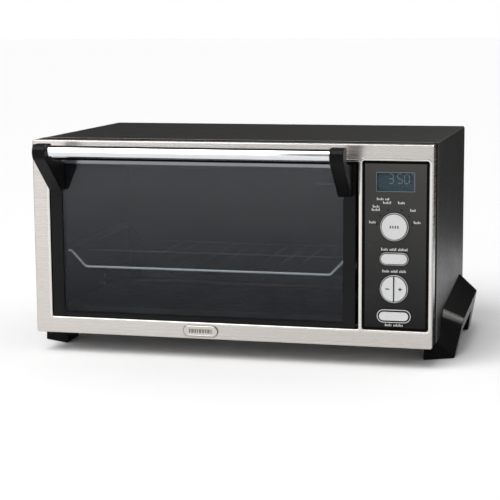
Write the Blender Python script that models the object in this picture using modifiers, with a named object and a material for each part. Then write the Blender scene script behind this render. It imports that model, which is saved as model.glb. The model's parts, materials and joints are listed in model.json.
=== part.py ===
"""Countertop toaster oven with a drop-down glass door and a push-button panel.

The case stands on two moulded side legs.  The steel front frames the door opening
and the control fascia; behind it sit the oven cavity on the left and the control
compartment on the right.

Sizes below are in millimetres of the case: x runs from the case's left side, y from
the steel front towards the back, z from the underside of the case.  at() turns them
into scene metres, with the origin on the worktop under the middle of the whole oven.
"""

import math

import bmesh
import bpy
from mathutils import Vector

MM = 0.001

# Case
WIDTH = 476.0
HEIGHT = 231.0
DEPTH = 305.0
FOOT = 25.0
HANDLE_REACH = 62.0
REAR_PROUD = 5.0
FRONT_Y = HANDLE_REACH - (HANDLE_REACH + DEPTH + REAR_PROUD) / 2
CORNER = 2.6
STEEL = 1.2
SHEET = 1.0
GAP = 0.3
BEZEL_WRAP = 30.6

# Door opening, door and hinge
OPEN_LEFT, OPEN_RIGHT = 20.2, 391.8
OPEN_LOW, OPEN_HIGH = 19.8, 211.2
LIP = 9.0
DOOR_LEFT, DOOR_RIGHT = 22.2, 388.0
DOOR_FRONT, DOOR_BACK = -0.8, 10.8
DOOR_TOP = 210.2
HINGE_Y, HINGE_Z = 3.0, 24.0
PIN_R = 1.5
STILE = 14.0
SILL_TOP = 26.0
HEADER_LOW = 203.8
GLASS_FRONT, GLASS_THICK = 0.8, 4.0

# Handle
BAR_Y, BAR_Z, BAR_R = -49.5, 221.8, 7.0
BRACKET_W = 15.6
BRACKET_OFFSET = 2.6
BRACKET_TOP = 230.4
HEAD_R = 11.6
SOCKET = 8.0

# Control fascia and its buttons
FASCIA_LEFT, FASCIA_RIGHT = 397.0, 470.0
FASCIA_LOW, FASCIA_HIGH = 22.3, 211.2
FASCIA_FRONT, FASCIA_THICK = 0.4, 3.0
PANEL_X = 432.3
MODE_Z, SELECT_Z, ADJUST_Z, START_Z = 138.5, 102.2, 68.0, 36.7
ROUND_R = 14.3
BUTTON_PROUD = 2.2
BUTTON_BACK = 9.0
PRESS = 1.2
DISPLAY = (411.0, 177.7, 455.3, 200.4)
BOARD_Y = 14.0

# Oven cavity
CAV_LEFT, CAV_RIGHT = 28.0, 383.0
CAV_FRONT, CAV_BACK = 14.0, 268.0
CAV_FLOOR, CAV_TOP = 20.0, 206.0
WALL = 1.2
RAIL_Z = 97.0
RACK_DROP = 20.0
RACK_FRONT, RACK_REAR = 20.0, 244.0
HEATER_R = 3.6
LOW_HEATER = (150.0, 40.0)
TOP_HEATERS = ((92.0, 194.0), (200.0, 194.0))

# Convection fan, on the control side of the cavity
FAN_Y, FAN_Z, FAN_R = 180.0, 150.0, 30.0

# Rear panel and crumb tray
REAR_Y = 299.0
TRAY_LEFT, TRAY_RIGHT = 32.0, 379.0
TRAY_LOW, TRAY_HIGH = 21.6, 31.0
GLAND = (440.0, 44.0)
GLAND_R = 7.0

PARTS = "toaster_oven"
CUTTERS = "toaster_oven_cutters"


def at(x, y, z):
    """Case millimetres to scene metres."""
    return Vector(((x - WIDTH / 2) * MM, (y + FRONT_Y) * MM, (z + FOOT) * MM))


def start_scene():
    """Empty the scene and make the two collections."""
    for old in list(bpy.data.objects):
        bpy.data.objects.remove(old, do_unlink=True)
    for name in (PARTS, CUTTERS):
        bpy.context.scene.collection.children.link(bpy.data.collections.new(name))


def paint(name, color, roughness, metallic=0.0, alpha=1.0):
    """Principled material with one colour and finish."""
    mat = bpy.data.materials.new(name)
    mat.use_nodes = True
    bsdf = mat.node_tree.nodes["Principled BSDF"]
    bsdf.inputs["Base Color"].default_value = (*color, 1.0)
    bsdf.inputs["Roughness"].default_value = roughness
    bsdf.inputs["Metallic"].default_value = metallic
    bsdf.inputs["Alpha"].default_value = alpha
    mat.diffuse_color = (*color, alpha)
    return mat


def finish_material(name, finish):
    """Own material of a node, named after it, from one of the shared finishes."""
    color, roughness, metallic, alpha = finish
    return paint(name + "_mat", color, roughness, metallic, alpha)


BRUSHED = ((0.62, 0.60, 0.57), 0.32, 1.0, 1.0)
POLISHED = ((0.82, 0.82, 0.83), 0.12, 1.0, 1.0)
BLACK_PAINT = ((0.025, 0.025, 0.025), 0.42, 0.0, 1.0)
BLACK_PLASTIC = ((0.018, 0.018, 0.019), 0.45, 0.0, 1.0)
GLOSS_BLACK = ((0.012, 0.012, 0.013), 0.22, 0.0, 1.0)
DARK_GLASS = ((0.05, 0.055, 0.06), 0.05, 0.0, 0.35)
ALUMINISED = ((0.45, 0.45, 0.46), 0.38, 1.0, 1.0)
DARK_COAT = ((0.045, 0.045, 0.047), 0.45, 0.0, 1.0)
SILVER_PLASTIC = ((0.72, 0.72, 0.73), 0.35, 0.0, 1.0)
CERAMIC_WHITE = ((0.78, 0.76, 0.72), 0.55, 0.0, 1.0)
HEATER_METAL = ((0.22, 0.21, 0.20), 0.48, 1.0, 1.0)
RUBBER_BLACK = ((0.02, 0.02, 0.02), 0.85, 0.0, 1.0)
BOARD_GREEN = ((0.03, 0.18, 0.08), 0.5, 0.0, 1.0)
SCREEN_BLUE = ((0.10, 0.17, 0.24), 0.25, 0.0, 1.0)


def place(name, mesh, origin, finish):
    """Object of the part, with its own material and smooth round faces."""
    obj = bpy.data.objects.new(name, mesh)
    obj.location = origin
    bpy.data.collections[PARTS].objects.link(obj)
    mesh.materials.clear()
    mesh.materials.append(finish_material(name, finish))
    mesh.shade_smooth()
    mesh.set_sharp_from_angle(angle=math.radians(35))
    return obj


def cutter(mesh, origin):
    """Hidden operand for a Boolean."""
    obj = bpy.data.objects.new("cutter", mesh)
    obj.location = origin
    obj.hide_render = True
    obj.display_type = "WIRE"
    bpy.data.collections[CUTTERS].objects.link(obj)
    return obj


def as_cutter(obj):
    """Turn a built piece into a hidden operand."""
    bpy.data.collections[PARTS].objects.unlink(obj)
    bpy.data.collections[CUTTERS].objects.link(obj)
    obj.hide_render = True
    obj.display_type = "WIRE"
    return obj


def cut(obj, *tools):
    """Take the tools' volumes out of obj."""
    for tool in tools:
        mod = obj.modifiers.new("cut", "BOOLEAN")
        mod.operation = "DIFFERENCE"
        mod.solver = "EXACT"
        mod.object = tool
    return obj


def fuse(obj, *tools):
    """Weld the tools' volumes to obj."""
    for tool in tools:
        mod = obj.modifiers.new("fuse", "BOOLEAN")
        mod.operation = "UNION"
        mod.solver = "EXACT"
        mod.object = tool
    return obj


def soften(obj, width, segments=2, angle=40):
    """Rounded edges, width in millimetres."""
    mod = obj.modifiers.new("soften", "BEVEL")
    mod.width = width * MM
    mod.segments = segments
    mod.limit_method = "ANGLE"
    mod.angle_limit = math.radians(angle)
    return obj


def face_out(bm):
    """Turn every face outwards, one closed shell at a time."""
    bmesh.ops.recalc_face_normals(bm, faces=bm.faces)
    waiting = set(bm.faces)
    while waiting:
        shell, edge = set(), [waiting.pop()]
        while edge:
            face = edge.pop()
            shell.add(face)
            near = {f for e in face.edges for f in e.link_faces} & waiting
            waiting -= near
            edge += near
        volume = 0.0
        for face in shell:
            first, *rest = [v.co for v in face.verts]
            volume += sum(first.dot(a.cross(b)) for a, b in zip(rest, rest[1:]))
        if volume < 0:
            bmesh.ops.reverse_faces(bm, faces=list(shell))


def box_mesh(low, high):
    """Box mesh about its own centre, and that centre in scene metres."""
    low, high = at(*low), at(*high)
    mesh = bpy.data.meshes.new("box")
    bm = bmesh.new()
    bmesh.ops.create_cube(bm, size=1.0)
    bmesh.ops.scale(bm, vec=high - low, verts=bm.verts)
    bm.to_mesh(mesh)
    bm.free()
    return mesh, (low + high) / 2


def box(name, low, high, finish):
    return place(name, *box_mesh(low, high), finish)


def box_cutter(low, high):
    return cutter(*box_mesh(low, high))


def loop_rect(low_u, low_v, high_u, high_v, radius=0.0, steps=4):
    """Rectangle with rounded corners, anticlockwise."""
    if radius <= 0:
        return [(low_u, low_v), (high_u, low_v), (high_u, high_v), (low_u, high_v)]
    corners = (
        (high_u - radius, low_v + radius, -90),
        (high_u - radius, high_v - radius, 0),
        (low_u + radius, high_v - radius, 90),
        (low_u + radius, low_v + radius, 180),
    )
    points = []
    for u, v, first in corners:
        points += loop_arc(u, v, radius, first, first + 90, steps)
    return points


def loop_arc(u, v, radius, first, last, steps):
    """Points along an arc, angles in degrees."""
    angles = [math.radians(first + (last - first) * i / steps) for i in range(steps + 1)]
    return [(u + radius * math.cos(a), v + radius * math.sin(a)) for a in angles]


def loop_circle(u, v, radius, steps=32):
    return loop_arc(u, v, radius, 0, 360 - 360 / steps, steps - 1)


def loop_pill(u, v, length, height, steps=10):
    """Slot outline, long along u."""
    radius = height / 2
    half = length / 2 - radius
    right = loop_arc(u + half, v, radius, -90, 90, steps)
    return right + loop_arc(u - half, v, radius, 90, 270, steps)


def plate_mesh(loops, axis, start, end):
    """Flat outlines given thickness along one axis, none inside another.

    The loops hold (x, z) for axis Y, (y, z) for X and (x, y) for Z, in case
    millimetres.
    """
    curve = bpy.data.curves.new("outline", "CURVE")
    curve.dimensions = "2D"
    curve.fill_mode = "BOTH"
    curve.extrude = abs(end - start) / 2 * MM
    for loop in loops:
        spline = curve.splines.new("POLY")
        spline.points.add(len(loop) - 1)
        for point, (u, v) in zip(spline.points, loop):
            point.co = (u * MM, v * MM, 0.0, 1.0)
        spline.use_cyclic_u = True
    guide = bpy.data.objects.new("outline", curve)
    bpy.data.collections[CUTTERS].objects.link(guide)
    graph = bpy.context.evaluated_depsgraph_get()
    mesh = bpy.data.meshes.new_from_object(guide.evaluated_get(graph))
    bpy.data.objects.remove(guide, do_unlink=True)
    middle = (start + end) / 2
    low_u = min(u for loop in loops for u, v in loop)
    high_u = max(u for loop in loops for u, v in loop)
    low_v = min(v for loop in loops for u, v in loop)
    high_v = max(v for loop in loops for u, v in loop)
    centre_u, centre_v = (low_u + high_u) / 2, (low_v + high_v) / 2
    bm = bmesh.new()
    bm.from_mesh(mesh)
    bmesh.ops.remove_doubles(bm, verts=bm.verts, dist=0.000005)
    for vert in bm.verts:
        u, v, w = vert.co.x - centre_u * MM, vert.co.y - centre_v * MM, vert.co.z
        vert.co = {"X": (w, u, v), "Y": (u, w, v), "Z": (u, v, w)}[axis]
    face_out(bm)
    bm.to_mesh(mesh)
    bm.free()
    origin = {
        "X": at(middle, centre_u, centre_v),
        "Y": at(centre_u, middle, centre_v),
        "Z": at(centre_u, centre_v, middle),
    }[axis]
    return mesh, origin


def plate(name, loops, axis, start, end, finish):
    """Plate whose first loop is the rim and whose other loops are holes."""
    obj = place(name, *plate_mesh(loops[:1], axis, start, end), finish)
    if loops[1:]:
        cut(obj, plate_cutter(loops[1:], axis, start - 2, end + 2))
    return obj


def plate_cutter(loops, axis, start, end):
    return cutter(*plate_mesh(loops, axis, start, end))


def rod_mesh(points, radius, sides_level=2):
    """Round bar or bent wire through the points, with filled ends."""
    curve = bpy.data.curves.new("rod", "CURVE")
    curve.dimensions = "3D"
    curve.bevel_depth = radius * MM
    curve.bevel_resolution = sides_level
    curve.use_fill_caps = True
    spline = curve.splines.new("POLY")
    spline.points.add(len(points) - 1)
    origin = at(*points[0])
    for point, place_mm in zip(spline.points, points):
        point.co = (*(at(*place_mm) - origin), 1.0)
    guide = bpy.data.objects.new("rod", curve)
    bpy.data.collections[CUTTERS].objects.link(guide)
    graph = bpy.context.evaluated_depsgraph_get()
    mesh = bpy.data.meshes.new_from_object(guide.evaluated_get(graph))
    bpy.data.objects.remove(guide, do_unlink=True)
    bm = bmesh.new()
    bm.from_mesh(mesh)
    bmesh.ops.remove_doubles(bm, verts=bm.verts, dist=0.000005)
    face_out(bm)
    bm.to_mesh(mesh)
    bm.free()
    return mesh, origin


def rod(name, points, radius, finish, sides_level=2):
    return place(name, *rod_mesh(points, radius, sides_level), finish)


def rod_cutter(points, radius, sides_level=2):
    return cutter(*rod_mesh(points, radius, sides_level))


def turned(name, profile, centre, axis, finish, steps=32):
    """Round piece: (radius, distance) pairs spun about a line through centre.

    The profile runs down the outer side and returns up the axis or the bore.
    """
    mesh = bpy.data.meshes.new(name)
    bm = bmesh.new()
    closed = profile[0][0] > 0
    verts = [bm.verts.new((r * MM, 0.0, h * MM)) for r, h in profile]
    pairs = zip(verts, verts[1:] + verts[:1]) if closed else zip(verts, verts[1:])
    for pair in pairs:
        bm.edges.new(pair)
    bm.to_mesh(mesh)
    bm.free()
    obj = place(name, mesh, at(*centre), finish)
    obj.rotation_euler = {
        "X": (0.0, math.radians(90), 0.0),
        "Y": (math.radians(-90), 0.0, 0.0),
        "Z": (0.0, 0.0, 0.0),
    }[axis]
    screw = obj.modifiers.new("spin", "SCREW")
    screw.axis = "Z"
    screw.steps = steps
    screw.render_steps = steps
    screw.use_merge_vertices = True
    screw.merge_threshold = 0.00001
    screw.use_smooth_shade = True
    return obj


# ---------------------------------------------------------------- case


def front_bezel():
    """Pressed steel front: face, wrapped edge and lips round both openings."""
    outer = loop_rect(0, 0, WIDTH, HEIGHT, CORNER)
    bezel = plate("front_bezel", [outer], "Y", 0.0, BEZEL_WRAP, BRUSHED)
    bm = bmesh.new()
    bm.from_mesh(bezel.data)
    front = min(v.co.y for v in bm.verts)
    edge = [e for e in bm.edges if all(v.co.y < front + 0.00001 for v in e.verts)]
    edge = [e for e in edge if any(len(f.verts) == 4 and f.normal.y > -0.5 for f in e.link_faces)]
    bmesh.ops.bevel(bm, geom=edge, offset=1.3 * MM, segments=3, affect="EDGES", profile=0.5)
    bm.to_mesh(bezel.data)
    bm.free()
    inner = loop_rect(STEEL, STEEL, WIDTH - STEEL, HEIGHT - STEEL, CORNER - STEEL)
    cut(bezel, plate_cutter([inner], "Y", STEEL, BEZEL_WRAP + 5))
    door = (OPEN_LEFT, OPEN_LOW, OPEN_RIGHT, OPEN_HIGH)
    fascia = (FASCIA_LEFT - 0.4, FASCIA_LOW - 0.4, FASCIA_RIGHT + 0.4, FASCIA_HIGH + 0.4)
    for low_x, low_z, high_x, high_z in (door, fascia):
        wall = loop_rect(low_x - STEEL, low_z - STEEL, high_x + STEEL, high_z + STEEL, 3.2)
        fuse(bezel, plate_cutter([wall], "Y", STEEL / 2, LIP))
    for low_x, low_z, high_x, high_z in (door, fascia):
        hole = loop_rect(low_x, low_z, high_x, high_z, 2.0)
        cut(bezel, plate_cutter([hole], "Y", -5, LIP + 5))
    for side in (OPEN_LEFT, OPEN_RIGHT):
        bore = rod_cutter([(side - 4, HINGE_Y, HINGE_Z), (side + 4, HINGE_Y, HINGE_Z)], 1.75, 3)
        cut(bezel, bore)
    return bezel


def rail_badge():
    """Blank raised pill on the bottom rail."""
    outline = loop_pill(204.6, 9.6, 41.4, 12.0)
    badge = plate("rail_badge", [outline], "Y", -1.3, -GAP, POLISHED)
    return soften(badge, 0.35)


def outer_cover():
    """Painted sheet over the top and both sides, hemmed under the case."""
    front = BEZEL_WRAP + 1.4
    cover = plate("outer_cover", [wrap_loop(0.0, SHEET, 10.0)], "Y", front, DEPTH, BLACK_PAINT)
    step = plate_cutter([wrap_loop(0.5, 2.4, 0.0)], "Y", front + 0.2, front + 1.6)
    tongue = plate_cutter([wrap_loop(1.5, 2.3, 0.0)], "Y", front - 10, front + 0.8)
    return fuse(cover, step, tongue)


def wrap_loop(inset, depth, hem):
    """Section of the wrap: outer surface at inset, inner surface at depth."""
    outer_r, inner_r = CORNER - inset, max(CORNER - depth, 0.8)
    low = 0.0 if hem else 6.0
    right, top = WIDTH - inset, HEIGHT - inset
    inner_right, inner_top = WIDTH - depth, HEIGHT - depth
    loop = [(right, low)]
    loop += loop_arc(right - outer_r, top - outer_r, outer_r, 0, 90, 4)
    loop += loop_arc(inset + outer_r, top - outer_r, outer_r, 90, 180, 4)
    loop += [(inset, low)]
    if hem:
        loop += [(hem, low), (hem, low + SHEET)]
    loop += [(depth, low + (SHEET if hem else 0))]
    loop += loop_arc(depth + inner_r, inner_top - inner_r, inner_r, 180, 90, 4)
    loop += loop_arc(inner_right - inner_r, inner_top - inner_r, inner_r, 90, 0, 4)
    loop += [(inner_right, low + (SHEET if hem else 0))]
    if hem:
        loop += [(WIDTH - hem, low + SHEET), (WIDTH - hem, low)]
    return loop


def slot_row(u, first_v, count, step, length, height):
    """Column of level vent slots stepping along v."""
    return [loop_pill(u, first_v + i * step, length, height, 3) for i in range(count)]


def rear_panel():
    """Back sheet with vents, the crumb tray's slot, the cord hole and two wall stops."""
    rim = loop_rect(SHEET + GAP, 3.2, WIDTH - SHEET - GAP, HEIGHT - SHEET - GAP, 2.0)
    tray = loop_rect(TRAY_LEFT - 3, TRAY_LOW - 1.4, TRAY_RIGHT + 3, TRAY_HIGH + 3)
    cord = loop_circle(*GLAND, GLAND_R, 20)
    holes = [tray, cord]
    for column in (80.0, 150.0, 262.0, 332.0):
        holes += slot_row(column, 172.0, 4, 9.0, 44.0, 3.6)
    holes += slot_row(430.0, 100.0, 9, 10.0, 50.0, 3.6)
    panel = plate("rear_panel", [rim] + holes, "Y", REAR_Y, REAR_Y + SHEET, BLACK_PAINT)
    for x in (60.0, 416.0):
        stop = loop_rect(x - 14, 212.0, x + 14, 224.0, 3.0)
        fuse(panel, plate_cutter([stop], "Y", REAR_Y + SHEET / 2, DEPTH + REAR_PROUD))
    return panel


def base_pan():
    """Bottom sheet inside the bezel's and the cover's edges, with vents."""
    rim = loop_rect(2.8, 4.0, WIDTH - 2.8, REAR_Y - GAP)
    holes = slot_row(400.0, 150.0, 8, 10.0, 34.0, 4.0)
    holes += slot_row(60.0, 130.0, 6, 14.0, 40.0, 4.0)
    holes += slot_row(300.0, 130.0, 6, 14.0, 40.0, 4.0)
    return plate("base_pan", [rim] + holes, "Z", 1.5, 2.7, ALUMINISED)


def between(first, last, steps):
    """Sections from first towards last, evenly spaced, without the last."""
    made = []
    for i in range(steps):
        share = i / steps
        made.append([
            tuple(a + (b - a) * share for a, b in zip(start, end))
            for start, end in zip(first, last)
        ])
    return made


def rolled(facet, bend, drop, steps):
    """Sections that roll the front facet's top edge back into the leg's top.

    The edge is the two upper outer points.  It starts lower on the facet by drop and
    follows a quadratic curve pulled towards the sharp corner, while the rest moves
    evenly towards the bend.
    """
    corners = [Vector(p) for p in facet]
    ends = [Vector(p) for p in bend]
    down = (corners[4] - corners[3]).normalized() * drop
    made = []
    for i in range(steps):
        t = i / steps
        section = [a.lerp(b, t) for a, b in zip(corners, ends)]
        for k in (2, 3):
            first = corners[k] + down
            section[k] = first * (1 - t) ** 2 + corners[k] * (2 * t * (1 - t)) + ends[k] * t**2
        made.append([tuple(p) for p in section])
    return made


def leg_mesh(mirror):
    """Moulded leg as a loft of unlike sections from the front facet to the back.

    The sections run under the case's corner, which is then cut out of them.
    """
    inner, wall, sole = 459.0, 474.0, -24.4
    facet = [
        (inner, 54.0, sole),
        (inner, 66.0, 8.0),
        (wall, 91.0, 27.0),
        (501.0, 94.5, 17.0),
        (493.0, 71.0, sole),
    ]
    bend = [
        (inner, 100.0, sole),
        (inner, 100.0, 8.0),
        (wall, 102.0, 30.0),
        (501.4, 104.0, 18.4),
        (493.0, 100.0, sole),
    ]
    rear = [
        (inner, 268.0, sole),
        (inner, 268.0, 8.0),
        (wall, 268.0, 45.0),
        (498.8, 268.0, 22.0),
        (490.6, 268.0, sole),
    ]
    origin = at(0.0 if mirror else WIDTH, 180.0, 0.0)
    mesh = bpy.data.meshes.new("leg")
    bm = bmesh.new()
    sections = rolled(facet, bend, 11.0, 7) + between(bend, rear, 8) + [rear]
    rings = []
    for section in sections:
        ring = []
        for x, y, z in section:
            x = WIDTH - x if mirror else x
            ring.append(bm.verts.new(at(x, y, z) - origin))
        rings.append(ring)
    for near, far in zip(rings, rings[1:]):
        for i in range(len(near)):
            j = (i + 1) % len(near)
            bm.faces.new((near[i], near[j], far[j], far[i]))
    bm.faces.new(rings[0])
    bm.faces.new(rings[-1])
    bmesh.ops.triangulate(bm, faces=bm.faces)
    face_out(bm)
    bm.to_mesh(mesh)
    bm.free()
    return mesh, origin


def legs():
    """One black moulding along the foot of each side, arched between its two feet."""
    arch = [(90.0, -30.0), (106.0, 1.0), (226.0, 4.0), (240.0, -30.0)]
    for side, mirror in (("left", True), ("right", False)):
        leg = place("leg_" + side, *leg_mesh(mirror), BLACK_PLASTIC)
        span = (-40.0, 30.0) if mirror else (WIDTH - 30.0, WIDTH + 40.0)
        cut(leg, plate_cutter([arch], "X", *span))
        soften(leg, 1.2, 2, 25)
        cut(leg, box_cutter((-0.4, 20.0, -0.5), (WIDTH + 0.4, 300.0, 80.0)))
        for end, low_y, high_y in (("front", 74.0, 88.0), ("rear", 244.0, 264.0)):
            low_x, high_x = 464.0, 486.0
            if mirror:
                low_x, high_x = WIDTH - high_x, WIDTH - low_x
            pocket = box_cutter((low_x - GAP, low_y - GAP, -30), (high_x + GAP, high_y + GAP, -22.7))
            cut(leg, pocket)
            box(
                "foot_pad_" + end + "_" + side,
                (low_x, low_y, -FOOT),
                (high_x, high_y, -23.0),
                RUBBER_BLACK,
            )


# ---------------------------------------------------------------- cavity


def cavity():
    """Five sheets round the baking space."""
    heaters = (LOW_HEATER,) + TOP_HEATERS
    holes = [loop_circle(y, z, HEATER_R + 0.5, 16) for y, z in heaters]
    side = loop_rect(CAV_FRONT, CAV_FLOOR + 1.6, CAV_BACK + WALL, CAV_TOP + WALL)
    plate("cavity_wall_left", [side] + holes, "X", CAV_LEFT - WALL, CAV_LEFT, DARK_COAT)
    fan = loop_circle(FAN_Y, FAN_Z, FAN_R + 3, 32)
    probe = loop_circle(60.0, 180.0, 3.4, 12)
    plate(
        "cavity_wall_right",
        [side, fan, probe] + holes,
        "X",
        CAV_RIGHT,
        CAV_RIGHT + WALL,
        DARK_COAT,
    )
    left, right = CAV_LEFT + GAP, CAV_RIGHT - GAP
    box(
        "cavity_ceiling",
        (left, CAV_FRONT, CAV_TOP),
        (right, CAV_BACK + WALL, CAV_TOP + WALL),
        DARK_COAT,
    )
    box(
        "cavity_back",
        (left, CAV_BACK, TRAY_HIGH + 3),
        (right, CAV_BACK + WALL, CAV_TOP - GAP),
        DARK_COAT,
    )
    box(
        "cavity_floor",
        (CAV_LEFT - WALL, CAV_FRONT, CAV_FLOOR),
        (CAV_RIGHT + WALL, REAR_Y - GAP, CAV_FLOOR + WALL),
        DARK_COAT,
    )


def rack_guides():
    """Formed channels on the side walls that carry the rack's rails."""
    low, high = RAIL_Z - 2.3, RAIL_Z + 4.7
    for side, face, out in (("left", CAV_LEFT + GAP, 1), ("right", CAV_RIGHT - GAP, -1)):
        tip, web = face + out * 5.5, face + out * 1.0
        loop = [(face, low - 1.2), (tip, low - 1.2), (tip, low), (web, low)]
        loop += [(web, high), (tip, high), (tip, high + 1.2), (face, high + 1.2)]
        plate("rack_guide_" + side, [loop], "Y", 16.0, 258.0, DARK_COAT)


def heaters():
    """Sheathed heating rods through both side walls, the lower one in ceramic collars."""
    named = (("lower", LOW_HEATER), ("upper_front", TOP_HEATERS[0]), ("upper_rear", TOP_HEATERS[1]))
    for name, (y, z) in named:
        rod("heater_" + name, [(14.0, y, z), (397.0, y, z)], HEATER_R, HEATER_METAL, 3)
    y, z = LOW_HEATER
    bore, rim = HEATER_R + GAP, HEATER_R + 4.0
    profile = [(bore, 5.0), (rim, 5.0), (rim, 0.0), (bore, 0.0)]
    for side, x in (("left", CAV_LEFT + GAP), ("right", CAV_RIGHT - GAP - 5)):
        turned("heater_collar_" + side, profile, (x, y, z), "X", CERAMIC_WHITE, 20)


def wire_rack():
    """Drop-centre rack: side rails, dipped cross bars and the grid welded on them."""
    left, right = CAV_LEFT + 3.8, CAV_RIGHT - 3.8
    low = RAIL_Z - RACK_DROP
    in_left, in_right = left + 23.0, right - 23.0
    section = [(left - 0.7, RAIL_Z), (left + 4.8, RAIL_Z), (in_left, low)]
    section += [(in_right, low), (right - 4.8, RAIL_Z), (right + 0.7, RAIL_Z)]
    rack = rod("wire_rack", [(x, RACK_FRONT, z) for x, z in section], 1.9, POLISHED, 2)
    fuse(rack, rod_cutter([(x, RACK_REAR, z) for x, z in section], 1.9, 2))
    for x in (left, right):
        ends = [(x, RACK_FRONT - 2.6, RAIL_Z + 0.5), (x, RACK_REAR + 2.6, RAIL_Z + 0.5)]
        fuse(rack, rod_cutter(ends, 1.8, 2))
    wire, count = 2.0, 12
    first, last = in_left + 4.0, in_right - 4.0
    pitch = (last - first - wire) / count
    rim = loop_rect(first, RACK_FRONT - 0.7, last, RACK_REAR + 0.7)
    grid = place("rack_grid", *plate_mesh([rim], "Z", low - 2.7, low - 0.9), POLISHED)
    gaps = [
        loop_rect(
            first + wire + i * pitch,
            RACK_FRONT + 0.8,
            first + (i + 1) * pitch,
            RACK_REAR - 0.8,
        )
        for i in range(count)
    ]
    cut(grid, plate_cutter(gaps, "Z", low - 6, low + 6))
    return fuse(rack, as_cutter(grid))


def crumb_tray():
    """Shallow tray under the lower heater, drawn out through the back."""
    tray = box(
        "crumb_tray",
        (TRAY_LEFT, CAV_FRONT + 2, TRAY_LOW),
        (TRAY_RIGHT, REAR_Y + 3, TRAY_HIGH),
        ALUMINISED,
    )
    inside = box_cutter(
        (TRAY_LEFT + 1.2, CAV_FRONT + 3.2, TRAY_LOW + 1.2),
        (TRAY_RIGHT - 1.2, REAR_Y + 1.8, TRAY_HIGH + 5),
    )
    grip = box_cutter((160.0, REAR_Y + 2.0, TRAY_LOW + 2), (250.0, DEPTH + 4.8, TRAY_LOW + 4.4))
    cut(tray, inside)
    fuse(tray, grip)
    return tray


def convection_fan():
    """Guard on the cavity side, impeller in the wall's opening, motor behind."""
    slots = []
    for ring, count, width in ((14.0, 8, 6.0), (24.0, 14, 6.5)):
        for i in range(count):
            turn = 2 * math.pi * i / count
            centre_y = FAN_Y + ring * math.cos(turn)
            centre_z = FAN_Z + ring * math.sin(turn)
            slots.append(loop_circle(centre_y, centre_z, width / 2, 8))
    rim = loop_circle(FAN_Y, FAN_Z, FAN_R + 8, 36)
    plate("fan_guard", [rim] + slots, "X", CAV_RIGHT - GAP - 1.2, CAV_RIGHT - GAP, ALUMINISED)
    hub_x = CAV_RIGHT + 3.0
    impeller = turned(
        "fan_impeller",
        [(0.0, 12.0), (7.0, 12.0), (7.0, 0.0), (0.0, 0.0)],
        (hub_x, FAN_Y, FAN_Z),
        "X",
        ALUMINISED,
        24,
    )
    back = [loop_circle(FAN_Y, FAN_Z, FAN_R, 32)]
    fuse(impeller, plate_cutter(back, "X", hub_x + 10.6, hub_x + 11.6))
    blades = 10
    for i in range(blades):
        fuse(impeller, blade_cutter(hub_x, 360.0 * i / blades))
    shaft_end = hub_x + 17.0
    fuse(impeller, rod_cutter([(hub_x + 8, FAN_Y, FAN_Z), (shaft_end, FAN_Y, FAN_Z)], 2.4, 2))
    motor = turned(
        "fan_motor",
        [(0.0, 26.0), (14.0, 26.0), (16.0, 24.0), (16.0, 0.0), (0.0, 0.0)],
        (shaft_end + 0.6, FAN_Y, FAN_Z),
        "X",
        HEATER_METAL,
        24,
    )
    lugs = loop_rect(FAN_Y - 34, FAN_Z - 7, FAN_Y + 34, FAN_Z + 7, 3)
    fuse(motor, plate_cutter([lugs], "X", shaft_end + 6, shaft_end + 7.5))


def blade_cutter(hub_x, degrees):
    """One radial blade of the impeller, standing on its back disc."""
    turn = math.radians(degrees)
    inner, outer, half = 5.5, FAN_R - 1.5, 0.5
    along = (math.cos(turn), math.sin(turn))
    across = (-along[1], along[0])
    loop = []
    for reach, side in ((inner, -half), (outer, -half), (outer, half), (inner, half)):
        y = FAN_Y + along[0] * reach + across[0] * side
        z = FAN_Z + along[1] * reach + across[1] * side
        loop.append((y, z))
    return plate_cutter([loop], "X", hub_x + 1.5, hub_x + 11.0)


# ---------------------------------------------------------------- door


def door_profile(top):
    """Side section of the door's edge: flat faces over a half-round foot."""
    radius = HINGE_Y - DOOR_FRONT
    loop = loop_arc(HINGE_Y, HINGE_Z, radius, 180, 360, 8)
    loop += [(DOOR_BACK, HINGE_Z + 1.5), (DOOR_BACK, top), (DOOR_FRONT, top)]
    return loop


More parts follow.
